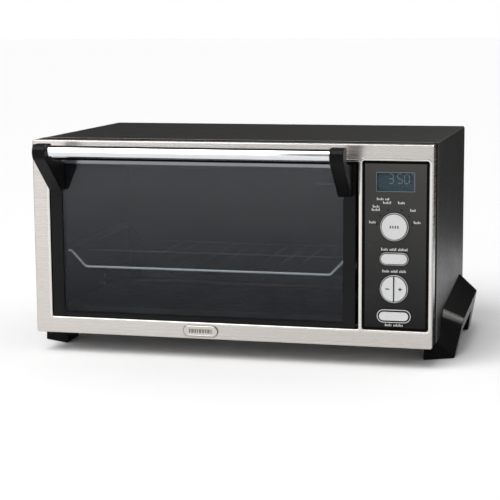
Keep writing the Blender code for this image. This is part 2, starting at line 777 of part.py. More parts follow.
def door():
    """Glass in a frame of two stiles, a header and a sill, on two hinge pins."""
    left_in, right_in = DOOR_LEFT + STILE, DOOR_RIGHT - STILE
    groove_low = (GLASS_FRONT - GAP, HINGE_Z + 0.4)
    groove_high = GLASS_FRONT + GLASS_THICK + GAP
    bite = 4.0
    for side, low, high in (("left", DOOR_LEFT, left_in), ("right", right_in, DOOR_RIGHT)):
        stile = plate("door_stile_" + side, [door_profile(DOOR_TOP)], "X", low, high, GLOSS_BLACK)
        edge = high if side == "left" else low
        groove = box_cutter(
            (edge - bite - GAP, groove_low[0], groove_low[1]),
            (edge + bite + GAP, groove_high, HEADER_LOW + 2.6),
        )
        pin = (16.2, DOOR_LEFT + 7) if side == "left" else (DOOR_RIGHT - 7, 395.1)
        ends = [(pin[0], HINGE_Y, HINGE_Z), (pin[1], HINGE_Y, HINGE_Z)]
        reach = [(pin[0] - 1, HINGE_Y, HINGE_Z), (pin[1] + 1, HINGE_Y, HINGE_Z)]
        cut(stile, groove, rod_cutter(reach, PIN_R + GAP, 3))
        rod("hinge_pin_" + side, ends, PIN_R, POLISHED, 3)
    inner = (left_in + GAP, right_in - GAP)
    sill = plate("door_sill", [door_profile(SILL_TOP)], "X", *inner, GLOSS_BLACK)
    cut(sill, box_cutter((left_in - 5, groove_low[0], groove_low[1]), (right_in + 5, groove_high, 40)))
    header = box(
        "door_header",
        (inner[0], DOOR_FRONT, HEADER_LOW),
        (inner[1], DOOR_BACK, DOOR_TOP),
        BRUSHED,
    )
    cut(header, box_cutter((0, groove_low[0], HEADER_LOW - 5), (400, groove_high, HEADER_LOW + 2.6)))
    box(
        "door_glass",
        (left_in - bite, GLASS_FRONT, HINGE_Z + 0.8),
        (right_in + bite, GLASS_FRONT + GLASS_THICK, HEADER_LOW + 2.2),
        DARK_GLASS,
    )


def bracket_profile():
    """Side view of a handle bracket: a barrel head round the bar on a tapering arm."""
    back = DOOR_FRONT - GAP
    head = loop_arc(HEAD_R - HANDLE_REACH, BAR_Z - 0.4, HEAD_R, 129, 231, 6)
    arm = [
        (-11.0, 172.3),
        (back, 172.3),
        (back, 206.0),
        (-39.5, 211.8),
        (-40.5, 213.2),
        (-40.5, BRACKET_TOP - 1.2),
        (-41.7, BRACKET_TOP),
    ]
    return head + arm


def handle():
    """Polished bar held at both ends in black brackets."""
    for side, low in (
        ("left", DOOR_LEFT + BRACKET_OFFSET),
        ("right", DOOR_RIGHT - BRACKET_OFFSET - BRACKET_W),
    ):
        high = low + BRACKET_W
        bracket = plate("handle_bracket_" + side, [bracket_profile()], "X", low, high, BLACK_PLASTIC)
        soften(bracket, 0.6, 1)
        mouth = (high - SOCKET, high + 5) if side == "left" else (low - 5, low + SOCKET)
        socket = rod_cutter([(mouth[0], BAR_Y, BAR_Z), (mouth[1], BAR_Y, BAR_Z)], BAR_R + GAP, 5)
        cut(bracket, socket)
    first = DOOR_LEFT + BRACKET_OFFSET + BRACKET_W - SOCKET + 0.5
    last = DOOR_RIGHT - BRACKET_OFFSET - BRACKET_W + SOCKET - 0.5
    rod("handle_bar", [(first, BAR_Y, BAR_Z), (last, BAR_Y, BAR_Z)], BAR_R, POLISHED, 6)


def hang_door():
    """Carry everything that swings with the door on one empty on the hinge line."""
    pivot = bpy.data.objects.new("door_hinge_line", None)
    pivot.location = at((DOOR_LEFT + DOOR_RIGHT) / 2, HINGE_Y, HINGE_Z)
    bpy.data.collections[PARTS].objects.link(pivot)
    bpy.context.view_layer.update()
    for obj in bpy.data.collections[PARTS].objects:
        if obj.name.startswith(("door_", "handle_", "hinge_pin_")) and obj != pivot:
            obj.parent = pivot
            obj.matrix_parent_inverse = pivot.matrix_world.inverted()


def hinge_brackets():
    """Pierced plates behind the bezel that the hinge pins turn in."""
    thick = 1.8
    for side, low in (
        ("left", OPEN_LEFT - STEEL - GAP - thick),
        ("right", OPEN_RIGHT + STEEL + GAP),
    ):
        loop = loop_rect(STEEL + GAP, HINGE_Z - 4.2, 22.0, HINGE_Z + 9, 1.0)
        strip = plate("hinge_bracket_" + side, [loop], "X", low, low + thick, ALUMINISED)
        bore = [(low - 2, HINGE_Y, HINGE_Z), (low + 6, HINGE_Y, HINGE_Z)]
        cut(strip, rod_cutter(bore, PIN_R + 0.15, 3))


# ---------------------------------------------------------------- controls


def button_outlines():
    """Each button's ring, button and clearance outlines."""
    adjust = ROUND_R
    half_gap = 0.8
    edge = math.degrees(math.asin(half_gap / adjust))
    right = loop_arc(PANEL_X, ADJUST_Z, adjust, -90 + edge, 90 - edge, 16)
    left = [(2 * PANEL_X - x, z) for x, z in right][::-1]
    return {
        "mode": loop_circle(PANEL_X, MODE_Z, ROUND_R, 36),
        "select": loop_pill(PANEL_X, SELECT_Z, 29.6, 11.2),
        "minus": left,
        "plus": right,
        "start": loop_pill(PANEL_X, START_Z, 33.4, 9.8),
    }


def control_fascia():
    """Moulded panel with a window and a hole for each button."""
    rim = loop_rect(FASCIA_LEFT, FASCIA_LOW, FASCIA_RIGHT, FASCIA_HIGH, 2.0)
    window = loop_rect(*DISPLAY, 0.8)
    holes = [
        window,
        loop_circle(PANEL_X, MODE_Z, ROUND_R + 0.4, 36),
        loop_pill(PANEL_X, SELECT_Z, 30.4, 12.0),
        loop_circle(PANEL_X, ADJUST_Z, ROUND_R + 0.4, 36),
        loop_pill(PANEL_X, START_Z, 34.2, 10.6),
    ]
    back = FASCIA_FRONT + FASCIA_THICK
    return plate("control_fascia", [rim] + holes, "Y", FASCIA_FRONT, back, GLOSS_BLACK)


def button_rings():
    """Thin bright rims standing on the fascia round the buttons."""
    back = FASCIA_FRONT - GAP
    rings = {
        "mode": (loop_circle(PANEL_X, MODE_Z, 15.9, 36), loop_circle(PANEL_X, MODE_Z, 14.9, 36)),
        "select": (
            loop_pill(PANEL_X, SELECT_Z, 32.6, 14.2),
            loop_pill(PANEL_X, SELECT_Z, 30.8, 12.4),
        ),
        "adjust": (
            loop_circle(PANEL_X, ADJUST_Z, 15.9, 36),
            loop_circle(PANEL_X, ADJUST_Z, 14.9, 36),
        ),
        "start": (
            loop_pill(PANEL_X, START_Z, 38.7, 15.1),
            loop_pill(PANEL_X, START_Z, 36.7, 13.1),
        ),
    }
    for name, loops in rings.items():
        plate("ring_" + name, loops, "Y", back - 0.9, back, SILVER_PLASTIC)


def buttons():
    """Spring-back buttons, each a cap with a stem towards its switch."""
    for name, loop in button_outlines().items():
        low_x, high_x = min(x for x, z in loop), max(x for x, z in loop)
        low_z, high_z = min(z for x, z in loop), max(z for x, z in loop)
        mid_x, mid_z = (low_x + high_x) / 2, (low_z + high_z) / 2
        cap = plate("button_" + name, [loop], "Y", -BUTTON_PROUD, BUTTON_BACK, SILVER_PLASTIC)
        soften(cap, 0.7, 2, 60)
        stem = [(mid_x, BUTTON_BACK - 1, mid_z), (mid_x, BOARD_Y - 2.2 - PRESS - GAP, mid_z)]
        fuse(cap, rod_cutter(stem, 2.2, 2))


def display():
    """Clear lens in the fascia's window, over the display block on the board."""
    low_x, low_z, high_x, high_z = DISPLAY
    box(
        "display_lens",
        (low_x + GAP, FASCIA_FRONT + 0.1, low_z + GAP),
        (high_x - GAP, FASCIA_FRONT + 1.6, high_z - GAP),
        DARK_GLASS,
    )
    box(
        "display_module",
        (low_x - 3, FASCIA_FRONT + FASCIA_THICK + GAP, low_z - 3),
        (high_x + 3, BOARD_Y - GAP, high_z + 3),
        SCREEN_BLUE,
    )


def control_board():
    """Circuit board behind the fascia with a switch under each button."""
    board = box(
        "control_board",
        (FASCIA_LEFT + 4, BOARD_Y, FASCIA_LOW + 5),
        (FASCIA_RIGHT - 4, BOARD_Y + 1.6, FASCIA_HIGH - 4),
        BOARD_GREEN,
    )
    for loop in button_outlines().values():
        x = (min(p[0] for p in loop) + max(p[0] for p in loop)) / 2
        z = (min(p[1] for p in loop) + max(p[1] for p in loop)) / 2
        fuse(board, box_cutter((x - 3, BOARD_Y - 2.2, z - 3), (x + 3, BOARD_Y + 0.5, z + 3)))
    chip = box_cutter((420.0, BOARD_Y + 1.0, 112.0), (444.0, BOARD_Y + 4.6, 128.0))
    plug = box_cutter((416.0, BOARD_Y + 1.0, 170.0), (448.0, BOARD_Y + 9.0, 178.0))
    return fuse(board, chip, plug)


def power_board():
    """Supply board on the base with its relay and transformer."""
    board = box("power_board", (404.0, 60.0, 9.0), (464.0, 140.0, 10.6), BOARD_GREEN)
    relay = box_cutter((410.0, 68.0, 10.0), (438.0, 84.0, 30.0))
    transformer = box_cutter((414.0, 100.0, 10.0), (450.0, 132.0, 42.0))
    stands = [
        box_cutter((x, y, 3.0), (x + 5, y + 5, 9.6))
        for x in (405.0, 458.0)
        for y in (62.0, 133.0)
    ]
    return fuse(board, relay, transformer, *stands)


def thermostat_probe():
    """Sensor tube through the cavity's right wall."""
    return rod("thermostat_probe", [(330.0, 60.0, 180.0), (392.0, 60.0, 180.0)], 2.4, POLISHED, 2)


def cord_gland():
    """Moulded inlet for the supply cord."""
    profile = [
        (4.0, 6.0),
        (10.0, 6.0),
        (10.0, 1.3),
        (GLAND_R - GAP, 1.3),
        (GLAND_R - GAP, -5.0),
        (4.0, -5.0),
    ]
    x, z = GLAND
    return turned("cord_gland", profile, (x, REAR_Y, z), "Y", RUBBER_BLACK, 24)


def rear_screws():
    """Pan-head screws on the rear panel."""
    for i, (x, z) in enumerate(((20.0, 200.0), (456.0, 206.0), (14.0, 60.0), (456.0, 70.0))):
        profile = [(0.0, 1.9), (2.2, 1.6), (3.4, 0.0), (0.0, 0.0)]
        turned("rear_screw_" + str(i + 1), profile, (x, REAR_Y + SHEET + GAP, z), "Y", POLISHED, 14)


def main():
    start_scene()
    front_bezel()
    rail_badge()
    outer_cover()
    rear_panel()
    base_pan()
    legs()
    cavity()
    rack_guides()
    heaters()
    wire_rack()
    crumb_tray()
    convection_fan()
    door()
    handle()
    hang_door()
    hinge_brackets()
    control_fascia()
    button_rings()
    buttons()
    display()
    control_board()
    power_board()
    thermostat_probe()
    cord_gland()
    rear_screws()


main()
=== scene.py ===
"""Looks of a countertop toaster oven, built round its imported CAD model."""

import json
import math

import bmesh
import bpy
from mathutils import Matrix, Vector


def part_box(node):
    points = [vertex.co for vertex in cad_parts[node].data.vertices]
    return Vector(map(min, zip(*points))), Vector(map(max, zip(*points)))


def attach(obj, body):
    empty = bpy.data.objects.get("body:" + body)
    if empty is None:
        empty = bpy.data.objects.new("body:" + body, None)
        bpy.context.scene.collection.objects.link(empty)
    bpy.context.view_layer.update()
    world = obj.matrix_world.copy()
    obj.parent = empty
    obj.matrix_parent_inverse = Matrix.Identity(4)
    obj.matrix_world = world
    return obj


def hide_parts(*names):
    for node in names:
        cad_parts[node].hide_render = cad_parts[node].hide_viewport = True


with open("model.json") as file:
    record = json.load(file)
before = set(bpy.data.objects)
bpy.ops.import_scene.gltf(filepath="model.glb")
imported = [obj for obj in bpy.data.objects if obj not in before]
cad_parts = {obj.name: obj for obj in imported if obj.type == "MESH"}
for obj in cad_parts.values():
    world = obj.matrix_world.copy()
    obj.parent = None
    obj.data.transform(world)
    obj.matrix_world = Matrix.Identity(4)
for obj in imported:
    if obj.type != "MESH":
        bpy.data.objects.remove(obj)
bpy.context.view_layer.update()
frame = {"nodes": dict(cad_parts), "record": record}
NODES = frame["nodes"]

MM = 0.001

# Scene metres
CASE = Vector(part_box("front_bezel")[0])
DOOR_FOOT, DOOR_HEAD = CASE.z + 0.02, CASE.z + 0.21

# Case millimetres; the opening's rectangle is low x, low z, high x, high z
CORNER = 2.6
PANEL_CORNER = 3.0
DOOR_OPENING = (20.2, 19.8, 391.8, 211.2)
INK_THICK = 0.1


def at(x, y, z):
    """Case millimetres, from the bezel's lower left front corner, to scene metres."""
    return CASE + Vector((x, y, z)) * MM


def span(node):
    """A node's box in case millimetres."""
    low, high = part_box(node)
    return (low - CASE) / MM, (high - CASE) / MM


def middle_of(node):
    """Middle of a node in the plane of the front, in case millimetres."""
    low, high = span(node)
    return (low.x + high.x) / 2, (low.z + high.z) / 2


# ---------------------------------------------------------------- materials


class Surface:
    """A Principled material with helpers for the patterns that drive it."""

    def __init__(self, name, color, rough, metal=0.0, spec=0.5, coat=0.0, coat_rough=0.1):
        self.mat = bpy.data.materials.new(name)
        self.mat.use_nodes = True
        self.tree = self.mat.node_tree
        self.bsdf = self.tree.nodes["Principled BSDF"]
        self.color, self.rough = color, rough
        self.set("Base Color", (*color, 1.0))
        self.set("Roughness", rough)
        self.set("Metallic", metal)
        self.set("Specular IOR Level", spec)
        self.set("Coat Weight", coat)
        self.set("Coat Roughness", coat_rough)
        self.mat.diffuse_color = (*color, 1.0)
        self.height = None

    def set(self, socket, value):
        """Give a socket of the Principled node a constant."""
        self.bsdf.inputs[socket].default_value = value

    def node(self, kind, **inputs):
        """New node with constants; an underscore in a name stands for a space."""
        made = self.tree.nodes.new(kind)
        for key, value in inputs.items():
            made.inputs[key.replace("_", " ")].default_value = value
        return made

    def link(self, a, b):
        self.tree.links.new(a, b)

    def place(self, scale=(1, 1, 1), turn=(0, 0, 0)):
        """Object coordinates, in metres, stretched and turned."""
        coords = self.node("ShaderNodeTexCoord")
        mapping = self.node("ShaderNodeMapping", Scale=scale, Rotation=turn)
        self.link(coords.outputs["Object"], mapping.inputs["Vector"])
        return mapping.outputs["Vector"]

    def noise(self, scale, detail=3.0, stretch=(1, 1, 1), rough=0.55, warp=0.0):
        """Cloudy pattern, from 0 to 1 about a middle of 0.5."""
        made = self.node(
            "ShaderNodeTexNoise", Scale=scale, Detail=detail, Roughness=rough, Distortion=warp
        )
        self.link(self.place(stretch), made.inputs["Vector"])
        return made.outputs["Fac"]

    def cells(self, scale):
        """Node of a pattern of cells, each with a colour of its own."""
        made = self.node("ShaderNodeTexVoronoi", Scale=scale)
        self.link(self.place(), made.inputs["Vector"])
        return made

    def spread(self, value, low, high, start=0.0, end=1.0):
        """Map start..end of a value to low..high."""
        made = self.node("ShaderNodeMapRange")
        self.link(value, made.inputs["Value"])
        ends = {"From Min": start, "From Max": end, "To Min": low, "To Max": high}
        for key, number in ends.items():
            made.inputs[key].default_value = number
        return made.outputs["Result"]

    def math(self, operation, a, b):
        """Result of a sum on two values or outputs."""
        made = self.node("ShaderNodeMath")
        made.operation = operation
        for socket, value in zip(made.inputs, (a, b)):
            if isinstance(value, (int, float)):
                socket.default_value = value
            else:
                self.link(value, socket)
        return made.outputs["Value"]

    def mix(self, factor, a, b):
        """Colour between a and b by factor."""
        made = self.node("ShaderNodeMix")
        made.data_type = "RGBA"
        self.link(factor, made.inputs["Factor"])
        for key, value in (("A", a), ("B", b)):
            socket = [s for s in made.inputs if s.name == key and s.type == "RGBA"][0]
            if isinstance(value, tuple):
                socket.default_value = (*value, 1.0)
            else:
                self.link(value, socket)
        return [s for s in made.outputs if s.type == "RGBA"][0]

    def tint(self, value, share, start=0.3, end=0.7):
        """Vary the colour by a share about its own value."""
        fac = self.spread(value, 0.0, 1.0, start, end)
        low = tuple(c * (1 - share) for c in self.color)
        high = tuple(min(c * (1 + share), 1.0) for c in self.color)
        out = self.mix(fac, low, high)
        self.link(out, self.bsdf.inputs["Base Color"])
        return out

    def painted_light_ramp(self, value, share):
        """0 at the foot of the door to 1 at its head, broken up by a pattern: the ramp for painted
        light that is lighter towards the top.
        """
        coords = self.node("ShaderNodeTexCoord")
        split = self.node("ShaderNodeSeparateXYZ")
        self.link(coords.outputs["Object"], split.inputs["Vector"])
        height = self.spread(split.outputs["Z"], 0.0, 1.0, DOOR_FOOT, DOOR_HEAD)
        return self.math("ADD", height, self.spread(value, -share, share, 0.3, 0.7))

    def roughen(self, value, share, start=0.3, end=0.7):
        """Vary the roughness by a share about its own value."""
        out = self.spread(value, self.rough * (1 - share), self.rough * (1 + share), start, end)
        self.link(out, self.bsdf.inputs["Roughness"])

    def relief(self, value, depth, strength=1.0):
        """Add bump of a depth in millimetres."""
        bump = self.node("ShaderNodeBump", Strength=strength, Distance=depth * MM)
        self.link(value, bump.inputs["Height"])
        if self.height is not None:
            self.link(self.height, bump.inputs["Normal"])
        self.height = bump.outputs["Normal"]
        self.link(self.height, self.bsdf.inputs["Normal"])


def facing(surface, axis):
    """1 where the surface faces within about 45 degrees of an axis, else 0."""
    geometry = surface.node("ShaderNodeNewGeometry")
    split = surface.node("ShaderNodeSeparateXYZ")
    surface.link(geometry.outputs["True Normal"], split.inputs["Vector"])
    size = surface.math("ABSOLUTE", split.outputs[axis], 0.0)
    return surface.math("GREATER_THAN", size, 0.7)


def brushed(name, color, rough, lines=2600.0, share=0.05, painted_side_shade=0.7):
    """Sheet metal brushed level: lines along X, and along Y on the sides, which are darkened as
    painted shade.

    Reflections stay sharp along the lines and blur up and down across them.
    """
    made = Surface(name, color, rough, metal=1.0)
    made.set("Anisotropic", 0.9)
    across = made.node("ShaderNodeCombineXYZ", X=0.15, Y=0.25, Z=0.95)
    made.link(across.outputs["Vector"], made.bsdf.inputs["Tangent"])
    front = made.noise(1.0, 4.0, (6.0, lines, lines))
    side = made.noise(1.0, 4.0, (lines, 6.0, lines))
    sideways = facing(made, "X")
    either = made.node("ShaderNodeMix")
    made.link(sideways, either.inputs["Factor"])
    made.link(front, either.inputs["A"])
    made.link(side, either.inputs["B"])
    grain = either.outputs["Result"]
    cloud = made.noise(9.0, 2.0)
    both = made.math("ADD", made.math("MULTIPLY", grain, 0.65), made.math("MULTIPLY", cloud, 0.35))
    toned = made.tint(both, share)
    # Painted shade: faces towards X take a darker copy of the colour, standing in for their darker
    # reflections.
    dim = tuple(c * painted_side_shade for c in color)
    made.link(made.mix(sideways, toned, dim), made.bsdf.inputs["Base Color"])
    made.roughen(grain, 0.12)
    made.relief(grain, 0.005, 0.3)
    return made.mat


def moulded(name, color, rough, grain=1500.0, depth=0.02, spec=0.5, share=0.12):
    """Moulded or sprayed black: fine grain, slow variation and faint handling marks."""
    made = Surface(name, color, rough, spec=spec)
    fine = made.noise(grain, 2.0)
    slow = made.noise(14.0, 3.0)
    marks = made.noise(60.0, 5.0, (1.0, 1.0, 4.0), 0.7, 0.6)
    made.tint(slow, share)
    wear = made.math("ADD", made.math("MULTIPLY", marks, 0.6), made.math("MULTIPLY", slow, 0.4))
    made.roughen(wear, 0.18)
    made.relief(fine, depth, 0.35)
    return made.mat


def gloss(name, color, rough, spec=0.5, peel=0.012, share=0.05, top=None):
    """Smooth moulding or enamel with a trace of orange peel.

    A top colour makes it fade to that colour towards the head of the door: painted light, a
    lighter top standing in for brighter reflection there.
    """
    made = Surface(name, color, rough, spec=spec)
    ripple = made.noise(260.0, 2.0)
    smear = made.noise(22.0, 3.0, (1.0, 1.0, 1.6), 0.5, 0.3)
    if top:
        made.link(made.mix(made.painted_light_ramp(smear, share), color, top), made.bsdf.inputs["Base Color"])
    else:
        made.tint(smear, share)
    made.roughen(smear, 0.28)
    made.relief(ripple, peel, 0.3)
    return made.mat


def plated(name, color, rough, along="X", share=0.04):
    """Polished or plated metal with faint drawing lines along its length."""
    made = Surface(name, color, rough, metal=1.0)
    stretch = {"X": (12.0, 1400.0, 1400.0), "Y": (1400.0, 12.0, 1400.0)}[along]
    lines = made.noise(1.0, 3.0, stretch)
    cloud = made.noise(40.0, 3.0)
    made.tint(cloud, share)
    made.roughen(lines, 0.3)
    made.relief(lines, 0.004, 0.35)
    return made.mat


def painted_glow_wire(name):
    """Bright plating with a painted glow: a weak bluish emission standing in for light on it,
    which shows it through the dark pane.
    """
    made = Surface(name, (0.86, 0.93, 1.0), 0.3, metal=1.0)
    made.tint(made.noise(40.0, 3.0), 0.03)
    lines = made.noise(1.0, 3.0, (12.0, 1400.0, 1400.0))
    made.roughen(lines, 0.3)
    made.relief(lines, 0.004, 0.35)
    made.set("Emission Color", (0.78, 0.92, 1.0, 1.0))
    made.set("Emission Strength", 0.32)
    return made.mat


def spangled(name, color, rough, share=0.12, scale=170.0, metal=1.0):
    """Coated sheet: crystals of slightly different brightness."""
    made = Surface(name, color, rough, metal=metal)
    crystal = made.cells(scale)
    split = made.node("ShaderNodeSeparateColor")
    made.link(crystal.outputs["Color"], split.inputs["Color"])
    slow = made.noise(18.0, 3.0)
    mixed = made.math(
        "ADD",
        made.math("MULTIPLY", split.outputs["Red"], 0.5),
        made.math("MULTIPLY", slow, 0.5),
    )
    made.tint(mixed, share, 0.2, 0.8)
    made.roughen(mixed, 0.25, 0.2, 0.8)
    made.relief(made.noise(800.0, 2.0), 0.01, 0.3)
    return made.mat


def heat_tinted(name):
    """Heater sheath: dark oxide with straw and blue patches."""
    made = Surface(name, (0.075, 0.068, 0.062), 0.5, metal=0.7)
    patch = made.noise(30.0, 4.0, (0.4, 1.0, 1.0), 0.6, 0.5)
    fac = made.spread(patch, 0.0, 1.0, 0.35, 0.65)
    blue, straw = (0.055, 0.055, 0.062), (0.115, 0.090, 0.068)
    made.link(made.mix(fac, blue, straw), made.bsdf.inputs["Base Color"])
    made.roughen(made.noise(300.0, 3.0), 0.2)
    made.relief(made.noise(900.0, 3.0), 0.02, 0.4)
    return made.mat


def tinted_glass(name, color, alpha, rough=0.03, spec=0.5, painted_top_spec=None):
    """Tinted pane that lets a share of light through; a top level makes it reflect more towards
    its top, which is painted reflection.
    """
    made = Surface(name, color, rough, spec=spec)
    made.set("Alpha", alpha)
    smear = made.noise(16.0, 3.0, (1.0, 1.0, 1.5), 0.5, 0.4)
    if painted_top_spec:
        made.set("IOR", 2.0)
        level = made.spread(made.painted_light_ramp(smear, 0.05), spec, painted_top_spec)
        made.link(level, made.bsdf.inputs["Specular IOR Level"])
        made.set("Specular Tint", (0.93, 0.95, 1.0, 1.0))
    made.roughen(smear, 0.5)
    made.relief(made.noise(9.0, 2.0), 0.01, 0.2)
    made.mat.surface_render_method = "BLENDED"
    made.mat.diffuse_color = (*color, alpha)
    return made.mat


def silver_paint(name):
    """Metallic paint: light flakes in a grey base under a thin clear coat."""
    made = Surface(name, (0.56, 0.56, 0.565), 0.36, metal=0.2, coat=0.2, coat_rough=0.2)
    flakes = made.cells(2600.0)
    split = made.node("ShaderNodeSeparateColor")
    made.link(flakes.outputs["Color"], split.inputs["Color"])
    made.tint(split.outputs["Red"], 0.12, 0.0, 1.0)
    made.roughen(made.noise(50.0, 3.0), 0.2)
    made.relief(made.noise(1600.0, 2.0), 0.006, 0.3)
    return made.mat


def ceramic(name):
    """Rough fired clay, browned by the heat."""
    made = Surface(name, (0.30, 0.285, 0.255), 0.62)
    made.tint(made.noise(220.0, 4.0), 0.1)
    made.roughen(made.noise(500.0, 2.0), 0.15)
    made.relief(made.noise(700.0, 4.0), 0.05, 0.5)
    return made.mat


def rubber(name):
    """Matte black rubber."""
    made = Surface(name, (0.022, 0.022, 0.023), 0.82, spec=0.3)
    made.tint(made.noise(60.0, 4.0), 0.3)
    made.roughen(made.noise(90.0, 3.0), 0.1)
    made.relief(made.noise(1500.0, 3.0), 0.04, 0.5)
    return made.mat


def solder_mask(name):
    """Green board with darker copper runs under the mask."""
    made = Surface(name, (0.022, 0.13, 0.055), 0.4)
    runs = made.node("ShaderNodeTexBrick")
    runs.inputs["Scale"].default_value = 95.0
    runs.inputs["Mortar Size"].default_value = 0.035
    made.link(made.place((1.0, 1.0, 1.0), (math.radians(90), 0, 0)), runs.inputs["Vector"])
    made.link(
        made.mix(runs.outputs["Fac"], (0.018, 0.105, 0.045), (0.035, 0.19, 0.08)),
        made.bsdf.inputs["Base Color"],
    )
    made.roughen(made.noise(200.0, 2.0), 0.2)
    made.relief(runs.outputs["Fac"], 0.03, 0.5)
    return made.mat


def screen(name):
    """Unlit liquid crystal: slate blue with a slow shift of tone and a fine dot mesh."""
    made = Surface(name, (0.036, 0.062, 0.078), 0.35, spec=0.2)
    slow = made.noise(35.0, 2.0)
    mesh = made.cells(1800.0)
    both = made.math(
        "ADD",
        made.math("MULTIPLY", slow, 0.8),
        made.math("MULTIPLY", mesh.outputs["Distance"], 0.2),
    )
    made.tint(both, 0.18)
    made.roughen(slow, 0.2)
    made.relief(mesh.outputs["Distance"], 0.01, 0.2)
    return made.mat


def ink(name, color):
    """Screen-printed ink: slightly uneven and matte."""
    made = Surface(name, color, 0.55)
    made.tint(made.noise(1500.0, 3.0), 0.1)
    made.roughen(made.noise(700.0, 2.0), 0.1)
    made.relief(made.noise(2500.0, 2.0), 0.01, 0.3)
    return made.mat


MATS = {
    "brushed_steel": brushed("brushed_steel", (0.572, 0.541, 0.516), 0.27, share=0.012),
    "rolled_steel": plated("rolled_steel", (0.74, 0.72, 0.69), 0.16),
    "header_steel": brushed("header_steel", (0.24, 0.25, 0.27), 0.22, 3200.0),
    "polished_bar": plated("polished_bar", (0.74, 0.745, 0.76), 0.11),
    "badge": plated("badge", (0.60, 0.57, 0.54), 0.26),
    "badge_line": plated("badge_line", (0.22, 0.205, 0.19), 0.35),
    # rack_chrome is far darker than real chrome: painted shade on the wires inside the oven,
    # against the front bar's painted glow.
    "rack_chrome": plated("rack_chrome", (0.16, 0.17, 0.19), 0.25),
    # Front bar of the rack: painted glow, a weak emission standing in for the light that falls on
    # it.
    "rack_painted_glow": painted_glow_wire("rack_painted_glow"),
    "pin_steel": plated("pin_steel", (0.58, 0.57, 0.54), 0.28),
    "pin_blackened": plated("pin_blackened", (0.035, 0.035, 0.037), 0.45),
    "cover_black": moulded("cover_black", (0.0065, 0.0063, 0.006), 0.40, 1500.0, 0.02, 0.42),
    "cover_edge": plated("cover_edge", (0.20, 0.20, 0.205), 0.32, "Y"),
    "door_black": gloss("door_black", (0.003, 0.0032, 0.0038), 0.18, 0.16),
    # fascia_black fades from near black at the foot of the door to grey at its head: painted
    # light, standing in for brighter reflection at the top.
    "fascia_black": gloss(
        "fascia_black", (0.0016, 0.0017, 0.0019), 0.24, 0.19, 0.006, 0.05, (0.045, 0.044, 0.042)
    ),
    # gap_black: flat black for the painted shade pieces (wrap band, fascia gap, button wells,
    # lines round the rings, door top strip), and for the unlit mode lamps.
    "gap_black": moulded("gap_black", (0.0015, 0.0015, 0.0015), 0.8, 900.0, 0.02, 0.05),
    "plastic_black": moulded("plastic_black", (0.0018, 0.0018, 0.0019), 0.30, 1900.0, 0.012, 0.10),
    "button_silver": silver_paint("button_silver"),
    # door_glass reflects more towards its head: painted reflection, standing in for the brighter
    # reflection at the top of the pane.
    "door_glass": tinted_glass("door_glass", (0.004, 0.0045, 0.007), 0.42, 0.03, 0.13, 0.42),
    "display_lens": tinted_glass("display_lens", (0.03, 0.05, 0.06), 0.14, 0.06, 0.25),
    "display_blue": screen("display_blue"),
    "liner_steel": spangled("liner_steel", (0.40, 0.40, 0.405), 0.36),
    "tray_steel": spangled("tray_steel", (0.13, 0.13, 0.132), 0.40),
    "liner_coat": spangled("liner_coat", (0.010, 0.010, 0.011), 0.5, 0.08, 500.0, 0.0),
    "fan_aluminium": spangled("fan_aluminium", (0.60, 0.60, 0.61), 0.3, 0.06, 500.0),
    "heater_metal": heat_tinted("heater_metal"),
    "collar_ceramic": ceramic("collar_ceramic"),
    "pad_rubber": rubber("pad_rubber"),
    "board_green": solder_mask("board_green"),
    "ink_pale": ink("ink_pale", (0.56, 0.56, 0.54)),
    "ink_dark": ink("ink_dark", (0.02, 0.02, 0.022)),
    "segment": ink("segment", (0.19, 0.26, 0.285)),
    "frame_blue": ink("frame_blue", (0.10, 0.125, 0.14)),
}

SLOT_OF = {s["node"]: s["material_slot"] for s in frame["record"]["subparts"]}
# Nodes whose finish differs from that of their slot
SHOWN_AS = {
    "rail_badge": "badge",
    "hinge_pin_left": "pin_blackened",
    "hinge_pin_right": "pin_blackened",
    "crumb_tray": "tray_steel",
}
for name, obj in NODES.items():
    look = MATS[SHOWN_AS.get(name, SLOT_OF[name])]
    if not obj.material_slots:
        obj.data.materials.append(look)
    for slot in obj.material_slots:
        slot.material = look


# ---------------------------------------------------------------- shapes


def new_object(name, bm):
    """Scene object from a bmesh, which is freed."""
    mesh = bpy.data.meshes.new(name)
    bm.to_mesh(mesh)
    bm.free()
    obj = bpy.data.objects.new(name, mesh)
    bpy.context.scene.collection.objects.link(obj)
    return obj


def finish_piece(name, bm, look, body, smooth=40):
    """Piece from a bmesh with its material, riding on a body."""
    bmesh.ops.recalc_face_normals(bm, faces=bm.faces)
    obj = new_object(name, bm)
    obj.data.materials.append(MATS[look])
    obj.data.shade_smooth()
    obj.data.set_sharp_from_angle(angle=math.radians(smooth))
    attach(obj, body)
    return obj


def band(bm, rings, closed=True):
    """Faces between successive rings of points; closed joins the last to the first."""
    made = [[bm.verts.new(p) for p in ring] for ring in rings]
    pairs = list(zip(made, made[1:]))
    if closed:
        pairs.append((made[-1], made[0]))
    for one, two in pairs:
        for i in range(len(one)):
            j = (i + 1) % len(one)
            bm.faces.new((one[i], one[j], two[j], two[i]))
    if not closed:
        bm.faces.new(made[0])
        bm.faces.new(made[-1])


def round_rect(low_x, low_z, high_x, high_z, radius, y, steps=8):
    """Points round a rectangle with round corners, in the plane of the front."""
    points = []
    corners = (
        (high_x - radius, low_z + radius, -90),
        (high_x - radius, high_z - radius, 0),
        (low_x + radius, high_z - radius, 90),
        (low_x + radius, low_z + radius, 180),
    )
    for x, z, first in corners:
        for i in range(steps + 1):
            turn = math.radians(first + 90 * i / steps)
            points.append(at(x + radius * math.cos(turn), y, z + radius * math.sin(turn)))
    return points


